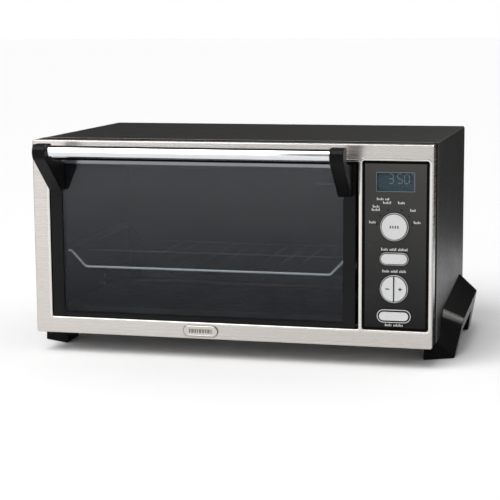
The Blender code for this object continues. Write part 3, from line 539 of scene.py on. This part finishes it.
def rim(name, rect, radius, profile, look):
    """Closed band on the oven, round a rectangle; the profile holds (distance outwards, y)."""
    low_x, low_z, high_x, high_z = rect
    bm = bmesh.new()
    rings = [
        round_rect(low_x - d, low_z - d, high_x + d, high_z + d, max(radius + d, 0.15), y)
        for d, y in profile
    ]
    band(bm, rings)
    return finish_piece(name, bm, look, "oven")


def slab(bm, outline, front, back):
    """Solid from an outline in the plane of the front."""
    rings = [[at(x, y, z) for x, z in outline] for y in (front, back)]
    band(bm, rings, closed=False)


def oblong(x, z, w, h):
    """Outline of an upright rectangle about its middle."""
    left, right, low, high = x - w / 2, x + w / 2, z - h / 2, z + h / 2
    return [(left, low), (right, low), (right, high), (left, high)]


def circle(x, z, radius, steps):
    """Points round a circle in the plane of the front."""
    turns = [2 * math.pi * k / steps for k in range(steps)]
    return [(x + radius * math.cos(t), z + radius * math.sin(t)) for t in turns]


def disc(bm, x, z, radius, front, thick):
    """Thin round solid, such as a dot of ink."""
    slab(bm, circle(x, z, radius, 16), front, front + thick)


def bend_path(points, radius, steps=6):
    """A path with its corners rounded, in case millimetres."""
    path = [Vector(points[0])]
    for before, corner, after in zip(points, points[1:], points[2:]):
        corner = Vector(corner)
        back = (Vector(before) - corner).normalized()
        on = (Vector(after) - corner).normalized()
        half = back.angle(on) / 2
        reach = radius / math.tan(half)
        centre = corner + (back + on).normalized() * (radius / math.sin(half))
        start, end = corner + back * reach, corner + on * reach
        for i in range(steps + 1):
            arm = (start - centre).slerp(end - centre, i / steps)
            path.append(centre + arm.normalized() * radius)
    path.append(Vector(points[-1]))
    return path


# Extra rings at a wire's rounded ends: (distance along, share of the radius).
PLAIN = ((0.0, 1.0),)
ROUNDED_START = ((-0.9, 0.3), (-0.6, 0.75), (0.0, 1.0))
ROUNDED_END = ((0.0, 1.0), (0.6, 0.75), (0.9, 0.3))


def wire(bm, points, radius, sides=12, rounded=True):
    """Round wire along a path in case millimetres, its ends closed."""
    rings = []
    normal = None
    last = len(points) - 1
    for i, point in enumerate(points):
        ahead = points[min(i + 1, last)]
        behind = points[max(i - 1, 0)]
        along = (ahead - behind).normalized()
        if normal is None:
            normal = along.orthogonal().normalized()
        normal = (normal - along * normal.dot(along)).normalized()
        across = along.cross(normal)
        ends = {0: ROUNDED_START, last: ROUNDED_END} if rounded else {}
        for shift, scale in ends.get(i, PLAIN):
            ring = []
            for k in range(sides):
                turn = 2 * math.pi * k / sides
                arm = normal * math.cos(turn) + across * math.sin(turn)
                spot = point + along * shift * radius + arm * radius * scale
                ring.append(at(*spot))
            rings.append(ring)
    band(bm, rings, closed=False)


# ---------------------------------------------------------------- front details


def panel_rect():
    """Outline of the dark moulding that frames the control fascia."""
    low, high = span("control_fascia")
    return low.x - 1.7, low.z - 2.4, high.x + 1.5, high.z + 1.7


def opening_rolls():
    """Rolled, polished edges of the two openings in the steel front."""
    bend, steps = 1.6, 6
    roll = [(-0.15, 5.0), (-0.15, 1.5)]
    for i in range(steps + 1):
        turn = math.radians(90 * i / steps)
        roll.append((1.45 - bend * math.cos(turn), 1.35 - bend * math.sin(turn)))
    roll += [(2.3, -0.12), (2.9, 0.1), (2.9, 0.6), (1.0, 5.0)]
    rim("door_opening_roll", DOOR_OPENING, 2.0, roll, "rolled_steel")
    rim("panel_opening_roll", panel_rect(), PANEL_CORNER, roll, "rolled_steel")


def badge_details():
    """Raised border, dark line and plain bars of the blank badge."""
    low, high = span("rail_badge")
    front, inset = low.y, 0.9
    rect = (low.x + inset, low.z + inset, high.x - inset, high.z - inset)
    radius = (rect[3] - rect[1]) / 2 - 0.01
    border = [(0.0, front + 0.2), (0.0, front - 0.1), (0.2, front - 0.25)]
    border += [(0.5, front - 0.25), (0.7, front - 0.1), (0.7, front + 0.2)]
    rim("rail_badge_border", rect, radius, border, "badge")
    line = [(0.95, front + 0.9), (0.95, front - 0.05), (1.25, front - 0.05), (1.7, front + 0.9)]
    rim("rail_badge_line", rect, radius, line, "badge_line")

    widths = (2.0, 3.0, 2.2, 1.4, 3.0, 2.4, 2.0, 3.0, 1.4)
    tall, gap = 4.6, 0.9
    bm = bmesh.new()
    middle = (low.z + high.z) / 2
    x = (low.x + high.x) / 2 - (sum(widths) + gap * (len(widths) - 1)) / 2
    for w in widths:
        slab(bm, oblong(x + w / 2, middle, w, tall), front - 0.12, front + 0.1)
        x += w + gap
    finish_piece("rail_badge_pattern", bm, "badge_line", "oven")


def over_case(name, profile, look, foot=1.0):
    """Strip up one side of the case, over the top and down the other.

    The closed profile holds (distance outwards, y).
    """
    low, high = span("front_bezel")
    steps = 6
    bm = bmesh.new()
    made = []
    for out, y in profile:
        left, right, top, radius = low.x - out, high.x + out, high.z + out, CORNER + out
        ring = [at(right, y, foot)]
        for x, first in ((right - radius, 0), (left + radius, 90)):
            for i in range(steps + 1):
                turn = math.radians(first + 90 * i / steps)
                across, rise = radius * math.cos(turn), radius * math.sin(turn)
                ring.append(at(x + across, y, top - radius + rise))
        ring.append(at(left, y, foot))
        made.append([bm.verts.new(p) for p in ring])
    count = len(made[0])
    for one, two in zip(made, made[1:] + made[:1]):
        for i in range(count - 1):
            bm.faces.new((one[i], one[i + 1], two[i + 1], two[i]))
    for end in (0, count - 1):
        bm.faces.new([ring[end] for ring in made])
    return finish_piece(name, bm, look, "oven")


def cover_hem_and_wrap_shade():
    """Black band over the steel's side wrap just in front of the joint with the cover, painted
    shade standing in for the dark reflection on the wrap; and the light grey edge of the cover's
    front hem.
    """
    lap, width = 11.4, 15.0
    y = span("outer_cover")[0].y + lap
    hem = [(-0.2, y + 1.6), (0.15, y + 1.5), (0.3, y + 0.9), (0.15, y + 0.25), (-0.2, y + 0.1)]
    over_case("cover_hem", hem, "cover_edge")
    # Painted shade: a black band laid over the side wrap of the steel front.
    wrap_shade = [(-0.1, y - width), (0.08, y - width), (0.08, y - 0.4), (-0.1, y - 0.4)]
    over_case("wrap_painted_shade", wrap_shade, "gap_black")


def fascia_gap_shade():
    """Black ring in the gap between the steel and the fascia: painted shade in that gap."""
    y = span("control_fascia")[0].y
    front = span("front_bezel")[0].y - 0.14
    profile = [(-3.4, y - 0.02), (-3.4, y - 0.08), (-2.6, front), (-0.1, front), (-0.1, y - 0.02)]
    rim("fascia_gap_shade", panel_rect(), PANEL_CORNER, profile, "gap_black")


def end_radius(rect):
    """Radius that turns an outline's ends into half circles."""
    return (rect[3] - rect[1]) / 2 - 0.02


def button_wells():
    """Painted shade: a black well in the gap between each button and its ring, and a painted
    shadow line round the ring.
    """
    y = span("control_fascia")[0].y
    inner = 0.1
    for name, nodes, outer in (
        ("mode", ("button_mode",), 1.0),
        ("select", ("button_select",), 0.95),
        ("adjust", ("button_minus", "button_plus"), 1.0),
        ("start", ("button_start",), 1.75),
    ):
        boxes = [span(node) for node in nodes]
        left, right = min(b[0].x for b in boxes), max(b[1].x for b in boxes)
        rect = (left, boxes[0][0].z, right, boxes[0][1].z)
        ring_low, ring_high = span("ring_" + name)
        face = ring_low.y - 0.06
        well = [(inner, y - 0.02), (inner, face), (outer, face), (outer, y - 0.02)]
        rim("well_" + name, rect, end_radius(rect), well, "gap_black")
        halo = [(0.03, y - 0.02), (0.03, y - 0.07), (0.8, y - 0.07), (0.8, y - 0.02)]
        rect = (ring_low.x, ring_low.z, ring_high.x, ring_high.z)
        rim("halo_" + name, rect, end_radius(rect), halo, "gap_black")


def door_top_shadow():
    """Painted shadow: a dark strip along the top of the door's header, under the handle bar."""
    low, high = span("door_header")
    width, edge = 2.6, 0.05
    bm = bmesh.new()
    middle, tall = high.z - (width + edge) / 2, width - edge
    outline = oblong((low.x + high.x) / 2, middle, high.x - low.x, tall)
    slab(bm, outline, low.y - 0.15, low.y + 0.1)
    finish_piece("door_top_shadow", bm, "gap_black", "door")


def wire_rack():
    """Round-wire rack: two dipped cross bars, side rails, a stay and the grid wires."""
    low, high = span("wire_rack")
    left, right = low.x + 3.2, high.x - 3.2
    front, rear = low.y + 4.0, high.y - 4.0
    rail_z, drop_z = 97.0, low.z + 3.6
    rail_lift, rail_over = 0.4, 2.6
    stay_y, stay_drop = 44.0, 2.2
    grid_count, grid_margin, grid_drop, grid_over = 13, 27.0, 2.3, 1.2
    shoulder, slope, corner, bar_over = 5.0, 18.0, 6.0, 1.2
    thick, front_thick, stay_thick, grid_thick = 1.8, 1.35, 0.9, 1.15

    bm = bmesh.new()
    front_bm = bmesh.new()
    for y, into, radius in ((front, front_bm, front_thick), (rear, bm, thick)):
        section = [
            (left - bar_over, y, rail_z),
            (left + shoulder, y, rail_z),
            (left + shoulder + slope, y, drop_z),
            (right - shoulder - slope, y, drop_z),
            (right - shoulder, y, rail_z),
            (right + bar_over, y, rail_z),
        ]
        wire(into, bend_path(section, corner), radius)
    # The front bar takes the painted glow; the other wires keep the darker, shaded chrome.
    finish_piece("rack_front_bar", front_bm, "rack_painted_glow", "rack", 50)

    for x in (left, right):
        ends = (front - rail_over, rear + rail_over)
        wire(bm, [Vector((x, y, rail_z + rail_lift)) for y in ends], thick)
    stay = [Vector((x, stay_y, rail_z - stay_drop)) for x in (left, right)]
    wire(bm, stay, stay_thick, 8, rounded=False)
    first, last = left + grid_margin, right - grid_margin
    for i in range(grid_count):
        x = first + (last - first) * i / (grid_count - 1)
        ends = (front - grid_over, rear + grid_over)
        wire(bm, [Vector((x, y, drop_z - grid_drop)) for y in ends], grid_thick, 8)
    obj = finish_piece("round_wire_rack", bm, "rack_chrome", "rack", 50)
    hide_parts("wire_rack")


# ---------------------------------------------------------------- panel details

SEGMENTS = {
    "a": ((0.12, 1.0), (0.88, 1.0)),
    "b": ((1.0, 0.92), (1.0, 0.56)),
    "c": ((1.0, 0.44), (1.0, 0.08)),
    "d": ((0.12, 0.0), (0.88, 0.0)),
    "e": ((0.0, 0.44), (0.0, 0.08)),
    "f": ((0.0, 0.92), (0.0, 0.56)),
    "g": ((0.12, 0.5), (0.88, 0.5)),
}
LIT = {3: "abcdg", 5: "acdfg", 0: "abcdef"}


def segment(bm, x, z, w, h, name, front):
    """One lit bar of a digit, pointed at both ends."""
    half_wide, tip, thick = 0.45, 0.4, 0.25
    (u0, v0), (u1, v1) = SEGMENTS[name]
    a, b = Vector((x + u0 * w, z + v0 * h)), Vector((x + u1 * w, z + v1 * h))
    along = (b - a).normalized()
    across = Vector((-along.y, along.x)) * half_wide
    outline = [
        a - along * tip,
        a + along * tip - across,
        b - along * tip - across,
        b + along * tip,
        b - along * tip + across,
        a + along * tip + across,
    ]
    slab(bm, [tuple(p) for p in outline], front, front + thick)


def display_details():
    """Digits on the liquid crystal and the pale border of the window."""
    low, high = span("display_lens")
    face = span("display_module")[0].y - 0.27
    digit_w, digit_h = 5.2, 10.6
    base = high.z - 13.0
    bm = bmesh.new()
    for digit, shift in ((3, 13.6), (5, 23.6), (0, 31.6)):
        for name in LIT[digit]:
            segment(bm, low.x + shift, base, digit_w, digit_h, name, face)
    disc(bm, low.x + 40.2, base + digit_h, 0.95, face, 0.25)
    finish_piece("display_digits", bm, "segment", "oven")
    back, front = low.y - 0.05, low.y - 0.16
    border = [(-0.75, back), (-0.75, front), (0.05, front), (0.05, back)]
    rect = (low.x, low.z, high.x, high.z)
    rim("display_border", rect, 0.6, border, "frame_blue")


def strokes(bm, x, z, width, height, front):
    """Generic printed mark, centred on a point: groups of uneven upright strokes."""
    wide, pitch, group = 0.85, 1.6, 6
    heights = (1.0, 0.62, 0.62, 0.9, 0.62)
    count = max(2, round((width - wide) / pitch) + 1)
    left = x - (count - 1) * pitch / 2
    for i in range(count):
        if i % group == group - 1 and i < count - 2:
            continue
        tall = height * heights[i % len(heights)]
        foot = z - height / 2
        slab(bm, oblong(left + i * pitch, foot + tall / 2, wide, tall), front, front + INK_THICK)


def fascia_marks():
    """Printed marks without words on the fascia, and the mode lamps."""
    front = span("control_fascia")[0].y - 0.09
    mid_x, mid_z = middle_of("button_mode")
    mode_marks = (
        (-25.0, 5.0, 8.0),
        (-21.0, 22.9, 7.0),
        (-21.4, 19.2, 8.6),
        (-13.2, 31.4, 13.0),
        (-8.6, 27.3, 9.0),
        (7.6, 27.4, 7.6),
        (20.6, 19.2, 6.4),
        (25.4, 5.6, 7.6),
    )
    bm = bmesh.new()
    for dx, dz, width in mode_marks:
        strokes(bm, mid_x + dx, mid_z + dz, width, 3.0, front)
    for node, rise, width in (
        ("button_select", 10.8, 30.0),
        ("button_minus", 20.2, 26.0),
        ("button_start", -10.2, 20.0),
    ):
        strokes(bm, mid_x, middle_of(node)[1] + rise, width, 3.2, front)
    finish_piece("panel_marks", bm, "ink_pale", "oven")

    lamp_ring = 20.4
    bm = bmesh.new()
    for turn in (172, 143, 112, 68, 37, 8):
        arm = math.radians(turn)
        x, z = mid_x + lamp_ring * math.cos(arm), mid_z + lamp_ring * math.sin(arm)
        disc(bm, x, z, 0.9, front, INK_THICK)
    finish_piece("mode_lamps", bm, "gap_black", "oven")


def plus_outline(x, z, arm, half):
    """Outline of a plus sign: the same three corners at each quarter turn."""
    points = []
    corners = [(arm, -half), (arm, half), (half, half)]
    for _ in range(4):
        points += [(x + u, z + v) for u, v in corners]
        corners = [(-v, u) for u, v in corners]
    return points


def button_marks():
    """Strokes on the mode button, and the minus and plus signs."""
    face = span("button_mode")[0].y - 0.07
    x, z = middle_of("button_mode")
    mode = [oblong(x + dx, z, 1.5, 3.0) for dx in (-4.2, -1.4, 1.4, 4.2)]
    x, z = middle_of("button_minus")
    minus = [oblong(x + 0.4, z, 4.6, 1.3)]
    x, z = middle_of("button_plus")
    plus = [plus_outline(x - 0.4, z, 2.2, 0.62)]
    for node, body, outlines in (
        ("button_mode", "mode_button", mode),
        ("button_minus", "minus_button", minus),
        ("button_plus", "plus_button", plus),
    ):
        bm = bmesh.new()
        for outline in outlines:
            slab(bm, outline, face, face + 0.12)
        finish_piece(node + "_mark", bm, "ink_dark", body)


# ---------------------------------------------------------------- rear details


def cross_screws():
    """Domed screw heads with a cross recess."""
    dome = ((3.4, 0.0), (3.4, 0.45), (3.1, 1.0), (2.4, 1.5), (1.3, 1.8), (0.3, 1.88))
    recess_long, recess_wide, recess_floor, clear = 3.6, 0.75, 0.8, 3.0
    for number in range(1, 5):
        node = f"rear_screw_{number}"
        x, z = middle_of(node)
        seat = span(node)[0].y
        rings = [[at(u, seat + y, v) for u, v in circle(x, z, r, 28)] for r, y in dome]
        bm = bmesh.new()
        band(bm, rings, closed=False)
        head = finish_piece(f"cross_screw_{number}", bm, "pin_steel", "oven")
        for turn, (w, h) in enumerate(((recess_wide, recess_long), (recess_long, recess_wide))):
            bm = bmesh.new()
            slab(bm, oblong(x, z, w, h), seat + recess_floor, seat + clear)
            bmesh.ops.recalc_face_normals(bm, faces=bm.faces)
            tool = new_object(f"slot_{number}_{turn}", bm)
            tool.hide_render = True
            tool.hide_viewport = True
            mod = head.modifiers.new("slot", "BOOLEAN")
            mod.operation = "DIFFERENCE"
            mod.solver = "EXACT"
            mod.object = tool
        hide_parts(node)


# ---------------------------------------------------------------- studio


def reflected_card(name, corners, level):
    """Card that only shows in reflections."""
    bm = bmesh.new()
    bm.faces.new([bm.verts.new(c) for c in corners])
    card = new_object(name, bm)
    look = bpy.data.materials.new(name)
    look.use_nodes = True
    look.node_tree.nodes.clear()
    glow = look.node_tree.nodes.new("ShaderNodeEmission")
    glow.inputs["Color"].default_value = (1.0, 0.98, 0.96, 1.0)
    glow.inputs["Strength"].default_value = level
    out = look.node_tree.nodes.new("ShaderNodeOutputMaterial")
    look.node_tree.links.new(glow.outputs["Emission"], out.inputs["Surface"])
    card.data.materials.append(look)
    card.visible_camera = False
    card.visible_diffuse = False
    card.visible_shadow = False
    card.visible_transmission = False


def pale_floor(half_width=30.0):
    """Plain floor, far wider than the view."""
    bm = bmesh.new()
    bmesh.ops.create_grid(bm, x_segments=1, y_segments=1, size=half_width)
    floor = new_object("floor", bm)
    floor.data.materials.append(Surface("floor_pale", (0.88, 0.88, 0.88), 0.9, spec=0.0).mat)


def soft_sky():
    """Sky that is white at the horizon, dim just above it and brighter overhead."""
    world = bpy.data.worlds.new("studio")
    bpy.context.scene.world = world
    world.use_nodes = True
    tree = world.node_tree
    coords = tree.nodes.new("ShaderNodeTexCoord")
    split = tree.nodes.new("ShaderNodeSeparateXYZ")
    ramp = tree.nodes.new("ShaderNodeValToRGB")
    tree.links.new(coords.outputs["Generated"], split.inputs["Vector"])
    tree.links.new(split.outputs["Z"], ramp.inputs["Fac"])
    tree.links.new(ramp.outputs["Color"], tree.nodes["Background"].inputs["Color"])
    stops = ((0.0, 1.0), (0.05, 1.0), (0.13, 0.30), (0.45, 0.36), (1.0, 0.75))
    elements = ramp.color_ramp.elements
    for position, _ in stops[1:-1]:
        elements.new(position)
    for element, (position, level) in zip(elements, stops):
        element.position = position
        element.color = (level, level, level, 1.0)


def cards():
    """Dark cards behind and above the oven; bright ones for the bar and the right leg."""
    side, back, sill, top, edge = 4.0, 0.78, 0.27, 2.6, -0.3
    for name, (y0, z0), (y1, z1), level in (
        ("dark_skirt", (back, 0.0), (back, sill), 0.03),
        ("dark_flag", (back, sill), (back, top), 0.11),
        ("dark_canopy", (back, top), (edge, top), 0.02),
    ):
        corners = [(-side, y0, z0), (side, y0, z0), (side, y1, z1), (-side, y1, z1)]
        reflected_card(name, corners, level)
    high = [(-0.35, -1.85, 1.15), (0.55, -1.85, 1.15), (0.55, -1.6, 1.45), (-0.35, -1.6, 1.45)]
    reflected_card("glint_card", high, 1.1)
    beside = [(0.52, 0.74, 1.30), (0.66, -0.28, 1.50), (1.12, -0.28, 1.28), (0.98, 0.74, 1.08)]
    reflected_card("leg_card", beside, 17.0)


def lamps():
    """Broad key light from above and a large soft box at the front left."""
    sun = bpy.data.lights.new("key", "SUN")
    sun.energy = 2.2
    sun.angle = math.radians(45)
    key = bpy.data.objects.new("key", sun)
    key.rotation_euler = (math.radians(32), math.radians(-18), 0.0)
    bpy.context.scene.collection.objects.link(key)

    soft = bpy.data.lights.new("front_softbox", "AREA")
    soft.shape = "RECTANGLE"
    soft.size, soft.size_y = 1.6, 1.0
    soft.energy = 9.0
    box = bpy.data.objects.new("front_softbox", soft)
    box.location = (-1.1, -1.9, 1.2)
    aim = Vector((0.0, 0.0, 0.12)) - box.location
    box.rotation_euler = aim.to_track_quat("-Z", "Y").to_euler()
    bpy.context.scene.collection.objects.link(box)


def front_camera():
    """Camera in front, a little to the right and just above the oven."""
    lens = bpy.data.cameras.new("camera")
    lens.lens = 108.66
    lens.sensor_width = 36.0
    camera = bpy.data.objects.new("camera", lens)
    camera.location = (0.45177, -1.78784, 0.39358)
    camera.rotation_euler = [math.radians(a) for a in (81.3477, 0.3895, 14.2598)]
    bpy.context.scene.collection.objects.link(camera)
    bpy.context.scene.camera = camera
    bpy.context.scene.view_settings.view_transform = "Standard"


opening_rolls()
badge_details()
cover_hem_and_wrap_shade()
fascia_gap_shade()
button_wells()
door_top_shadow()
wire_rack()
display_details()
fascia_marks()
button_marks()
cross_screws()
pale_floor()
soft_sky()
cards()
lamps()
front_camera()

bpy.context.view_layer.update()
